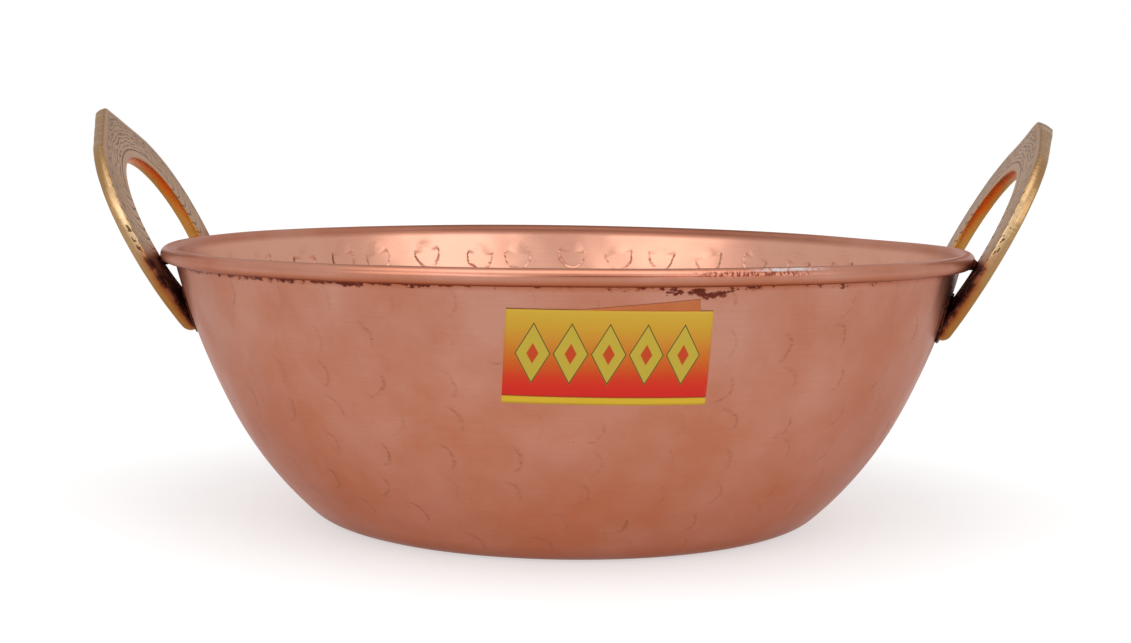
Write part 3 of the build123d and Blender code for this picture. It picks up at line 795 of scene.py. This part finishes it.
def lump(middle, size, seed):
    """A rounded lump: middle plus size times the unit sphere's point, swollen by 1 plus 0.14 of two crossed
    waves and 0.06 of a finer one."""
    rows = np.linspace(0.12, np.pi - 0.12, 22)[:, None]
    columns = np.linspace(0, 2 * np.pi, 36, endpoint=False)
    sphere = np.stack(np.broadcast_arrays(
        np.sin(rows) * np.cos(columns), np.sin(rows) * np.sin(columns), np.cos(rows)), axis=-1)
    crossed = np.sin(3 * sphere[..., :1] + seed) * np.sin(4 * sphere[..., 1:2] + 2 * seed)
    finer = np.sin(9 * sphere.sum(axis=-1, keepdims=True) + seed)
    return np.asarray(middle) + sphere * (1 + 0.14 * crossed + 0.06 * finer) * size


def foot_bead(leg, side, seed):
    """A bead round a foot. Its line runs on the wall, down the leg's outer edge, across the foot's end and
    up its hole side. Round it lies a circle whose radius swells and shrinks along it and runs out at
    both ends."""
    count = 90
    outer, hole = ring_edges(400)
    outer = outer[outer[:, 1] < foot_top]
    hole = hole[hole[:, 1] < foot_top + 1.5]
    line = evenly(np.concatenate([outer + [0.15, 0], hole[::-1] - [0.15, 0]]), count) * [leg, 1]
    line = np.append(line, np.zeros((count, 1)), axis=1)
    line[:, 2] = wall_depth(line, side) + 0.25
    path = plate_to_pan(line, side)
    ahead = np.gradient(path, axis=0)
    ahead /= np.linalg.norm(ahead, axis=1, keepdims=True)
    outwards = path * [1, 1, 0] / np.linalg.norm(path[:, :2], axis=1, keepdims=True)
    beside = np.cross(ahead, outwards)
    beside /= np.linalg.norm(beside, axis=1, keepdims=True)
    lift = np.cross(beside, ahead)
    t = np.linspace(0, 1, count)[:, None]
    radius = bead_radius * (0.25 + 0.75 * np.sin(np.pi * np.clip(t, 0.03, 0.97)) ** 0.5)
    radius = radius * (1 + 0.16 * np.sin(23 * t + seed) * np.sin(51 * t + 2 * seed))
    angle = np.linspace(0, 2 * np.pi, 18, endpoint=False)
    circle = radius * (1 + 0.08 * np.sin(3 * angle + 19 * t + seed))
    wide = (circle * np.cos(angle))[..., None] * beside[:, None]
    high = (0.7 * circle * np.sin(angle))[..., None] * lift[:, None]
    return path[:, None] + wide + high


for side in ("left", "right"):
    for end in ("front", "rear"):
        leg = 1 if (side == "right") == (end == "rear") else -1
        seed = 1.7 * leg + (3.1 if side == "left" else 0.4)
        middle = (leg * braze_centre[0], braze_centre[1] - braze_sink[side], braze_depth)
        seat = plate_to_pan(lump(middle, braze_size, seed), side)
        bead = foot_bead(leg, side, seed)
        for kind, grid in (("rim", seat), ("foot", bead)):
            alloy = surface(
                f"{side}_{kind}_braze_{end}_alloy", grid, [grid[0].mean(axis=0), grid[-1].mean(axis=0)],
            )
            alloy.data.materials.append(soot_alloy)
            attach(alloy, "root")
            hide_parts(f"{side}_{kind}_braze_{end}")

# The labels: coated paper, gummed on. The newer one is printed in yellow running to red with a plain row of
# lozenges. It is stuck over an older, orange one that shows above it at both upper corners.
# Each label: (width, height), azimuth, level on the wall, own turn in degrees, and distance from the wall.
paper_thickness = 0.15
labels = {
    "under_label": ((47.0, 23.5), -81.5, 60.5, 5.0, 0.03),
    "label": ((50.8, 25.4), -81.3, 58.9, -0.7, 0.21),
}


def paper_sheet(name, size, side, level, turn_degrees, gap):
    """A rectangle laid on the wall. Its point (a, b) lies a mm round the wall from its middle and b mm up the
    wall, both turned by the label's own turn, at the wall's radius there plus its distance from the wall."""
    columns, rows = 72, 36
    a = np.linspace(-size[0] / 2, size[0] / 2, columns)[:, None]
    b = np.linspace(-size[1] / 2, size[1] / 2, rows)
    across_b = np.concatenate([b, b[::-1]])[None, :]
    lift = np.concatenate([np.full(rows, gap), np.full(rows, gap + paper_thickness)])[None, :]
    tilt = np.radians(turn_degrees)
    round_mm = a * np.cos(tilt) - across_b * np.sin(tilt)
    up_mm = a * np.sin(tilt) + across_b * np.cos(tilt)
    line = wall_line(0.0, (60, 160, 160))
    length = np.append(0, np.cumsum(np.linalg.norm(np.diff(line, axis=0), axis=1)))
    start = np.interp(level, line[:, 1], length)
    slope = np.gradient(line, length, axis=0)
    here = start + up_mm
    radius = np.interp(here, length, line[:, 0])
    out = radius + lift * np.interp(here, length, slope[:, 1])
    high = np.interp(here, length, line[:, 1]) - lift * np.interp(here, length, slope[:, 0])
    angle = np.radians(side) + round_mm / radius
    grid = hand_made(np.stack([out * np.cos(angle), out * np.sin(angle), high], axis=-1))
    ends = [grid[0].mean(axis=0), grid[-1].mean(axis=0)]
    return surface(name, grid, ends, print_x=a + 0 * across_b, print_y=across_b + 0 * a)


# Offset print on coated paper: flat colour that runs from yellow at the top to red, with a faint sheen.
printed, tree, output = material("coated_paper_printed_new")
print_x = node(tree, "Attribute", attribute_name="print_x", out="Fac")
print_y = node(tree, "Attribute", attribute_name="print_y", out="Fac")
place = node(tree, "TexCoord", out="Object")
level = node(tree, "MapRange", print_y, -12.7, 12.7, 0.0, 1.0)
ramp = node(tree, "ValToRGB", level, out=None)
stops = (
    (0.0, "#eac032"), (0.075, "#eac032"), (0.085, "#9c2a0e"), (0.10, "#e0261a"), (0.20, "#e42f1a"),
    (0.30, "#e04018"), (0.42, "#dc601a"), (0.55, "#da7822"), (0.70, "#da962e"), (0.85, "#dcaa32"),
    (1.0, "#e0b63c"),
)
while len(ramp.color_ramp.elements) < len(stops):
    ramp.color_ramp.elements.new(0.5)
for element, (position, code) in zip(ramp.color_ramp.elements, stops):
    element.position = position
    element.color = paint(code)
lozenge_count, lozenge_width, lozenge_height, lozenge_rise = 5, 9.2, 17.5, 1.2
cell = node(tree, "Math", print_x, 1 / lozenge_width, 0.5, operation="MULTIPLY_ADD")
cell = node(tree, "Math", node(tree, "Math", cell, operation="FRACT"), 0.5, operation="SUBTRACT")
cell = node(tree, "Math", cell, operation="ABSOLUTE")
rise_share = node(tree, "Math", print_y, lozenge_rise, operation="SUBTRACT")
rise_share = node(tree, "Math", rise_share, 1 / lozenge_height, operation="MULTIPLY")
rise_share = node(tree, "Math", rise_share, operation="ABSOLUTE")
lozenge = node(tree, "Math", cell, rise_share, operation="ADD")
in_row = node(tree, "Math", print_x, operation="ABSOLUTE")
in_row = node(tree, "Math", in_row, lozenge_count / 2 * lozenge_width, operation="LESS_THAN")
pale = node(tree, "MapRange", lozenge, 0.46, 0.48, 1.0, 0.0)
pale = node(tree, "Math", pale, in_row, operation="MULTIPLY")
rim_line = band(tree, lozenge, 0.455, 0.008, 0.02)
rim_line = node(tree, "Math", rim_line, in_row, operation="MULTIPLY")
heart = node(tree, "MapRange", lozenge, 0.15, 0.17, 1.0, 0.0)
heart = node(tree, "Math", heart, in_row, operation="MULTIPLY")
colour = node(tree, "Mix", at={0: pale, 6: ramp.outputs[0], 7: paint("#cfb53e")}, data_type="RGBA", out=2)
colour = node(tree, "Mix", at={0: heart, 6: colour, 7: paint("#cf4a1c")}, data_type="RGBA", out=2)
colour = node(tree, "Mix", at={0: rim_line, 6: colour, 7: paint("#4a3a1c")}, data_type="RGBA", out=2)
paper_noise = node(tree, "TexNoise", place, at={"Scale": 700.0, "Detail": 3.0})
crumple = node(tree, "TexNoise", place, at={"Scale": 60.0, "Detail": 2.0})
height = node(tree, "Math", crumple, 0.25, operation="MULTIPLY")
height = node(tree, "Math", paper_noise, 0.01, height, operation="MULTIPLY_ADD")
height = node(tree, "Math", height, MM, operation="MULTIPLY")
relief = node(tree, "Bump", at={"Strength": 1.0, "Distance": 1.0, "Height": height})
shader = node(
    tree, "BsdfPrincipled",
    at={"Base Color": colour, "Roughness": 0.42, "Specular IOR Level": 0.25, "Normal": relief},
)
tree.links.new(shader, output.inputs["Surface"])

# The older label's print has faded to two blotchy oranges, and its coating is duller.
old_print, tree, output = material("coated_paper_printed_old")
place = node(tree, "TexCoord", out="Object")
fade = node(tree, "TexNoise", place, at={"Scale": 220.0, "Detail": 3.0})
colour = node(tree, "Mix", at={0: fade, 6: paint("#c4602c"), 7: paint("#d07c3c")}, data_type="RGBA", out=2)
relief = node(tree, "Bump", at={"Strength": 0.3, "Distance": 0.0001, "Height": fade})
shader = node(tree, "BsdfPrincipled", at={"Base Color": colour, "Roughness": 0.5, "Normal": relief})
tree.links.new(shader, output.inputs["Surface"])

for name, print_material, slot in (
    ("under_label", old_print, "old_label_paper"),
    ("label", printed, "label_paper"),
):
    paper = paper_sheet(name + "_paper", *labels[name])
    paper.data.materials.append(print_material)
    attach(paper, "root")
    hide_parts(name)

# The studio: the pan stands on a white paper sweep, under one large soft lamp overhead and two soft ones in
# front. The sweep and the world look white to the camera, and to gloss, without lighting the pan more.


def looked_at(tree):
    """1 for a ray from the camera, off gloss or through glass, and 0 for one that only brings light."""
    path = node(tree, "LightPath", out=None).outputs
    seen = node(tree, "Math", path["Is Camera Ray"], path["Is Glossy Ray"], operation="MAXIMUM")
    return node(tree, "Math", seen, path["Is Transmission Ray"], operation="MAXIMUM")


floor_mesh = bpy.data.meshes.new("floor")
floor_mesh.from_pydata([(-6, -6, 0), (6, -6, 0), (6, 6, 0), (-6, 6, 0)], [], [(0, 1, 2, 3)])
floor = bpy.data.objects.new("floor", floor_mesh)
bpy.context.scene.collection.objects.link(floor)
white_sweep, tree, output = material("white_paper_sweep")
far = node(tree, "VectorMath", node(tree, "TexCoord", out="Object"), operation="LENGTH", out="Value")
paper_white = node(tree, "BsdfDiffuse", paint("#b9b9b9"))
own_white = node(tree, "MapRange", far, 0.3, 2.0, 0.56, 0.74)
own_white = node(tree, "Math", looked_at(tree), own_white, operation="MULTIPLY")
glow = node(tree, "Emission", paint("#ffffff"), own_white)
both = node(tree, "AddShader", paper_white, glow)
tree.links.new(both, output.inputs["Surface"])
floor_mesh.materials.append(white_sweep)

world = bpy.data.worlds.new("studio")
world.use_nodes = True
tree = world.node_tree
tree.nodes.clear()
strength = node(tree, "MapRange", looked_at(tree), 0.0, 1.0, 0.65, 1.0)
background = node(tree, "Background", paint("#ffffff"), strength)
tree.links.new(background, node(tree, "OutputWorld", out=None).inputs["Surface"])
bpy.context.scene.world = world


def aim(place, target):
    """The turn that points an object's -Z from place at target, top up: columns right, up, back."""
    back = np.subtract(place, target) / np.linalg.norm(np.subtract(place, target))
    right = np.cross([0, 0, 1], back)
    right /= np.linalg.norm(right)
    turned = np.eye(4)
    turned[:3, :3] = np.stack([right, np.cross(back, right), back], axis=1)
    turned[:3, 3] = place
    return turned


for name, place, size, power in (
    ("lamp_overhead", (0.0, -0.24, 0.90), (1.2, 0.6), 4.6),
    ("lamp_front_right", (0.82, -0.79, 0.58), (0.9, 0.5), 2.6),
    ("lamp_front_left", (-0.57, -0.99, 0.58), (0.9, 0.5), 2.6),
):
    lamp = bpy.data.lights.new(name, "AREA")
    lamp.shape = "RECTANGLE"
    lamp.size, lamp.size_y = size
    lamp.energy = power
    holder = bpy.data.objects.new(name, lamp)
    bpy.context.scene.collection.objects.link(holder)
    holder.matrix_world = [list(r) for r in aim(place, (0, 0, 0.05)).T]

# The camera: 0.54 m in front, a little to the right and above the rim, 5.3 degrees down, rolled 0.8 degrees.
camera = bpy.data.cameras.new("camera")
camera.sensor_width = 36.0
camera.lens = 57.03
camera.clip_start = 0.01
heading, pitch, roll = np.radians([3.474, 5.328, 0.813])
forward = np.array([-np.sin(heading) * np.cos(pitch), np.cos(heading) * np.cos(pitch), -np.sin(pitch)])
right = np.array([np.cos(heading), np.sin(heading), 0.0])
upright = np.cross(right, forward)
pose = np.eye(4)
pose[:3, 0] = np.cos(roll) * right + np.sin(roll) * upright
pose[:3, 1] = -np.sin(roll) * right + np.cos(roll) * upright
pose[:3, 2] = -forward
pose[:3, 3] = (0.03233, -0.53903, 0.10772)
eye = bpy.data.objects.new("camera", camera)
bpy.context.scene.collection.objects.link(eye)
eye.matrix_world = [list(r) for r in pose.T]
bpy.context.scene.camera = eye
bpy.context.scene.view_settings.view_transform = "Standard"
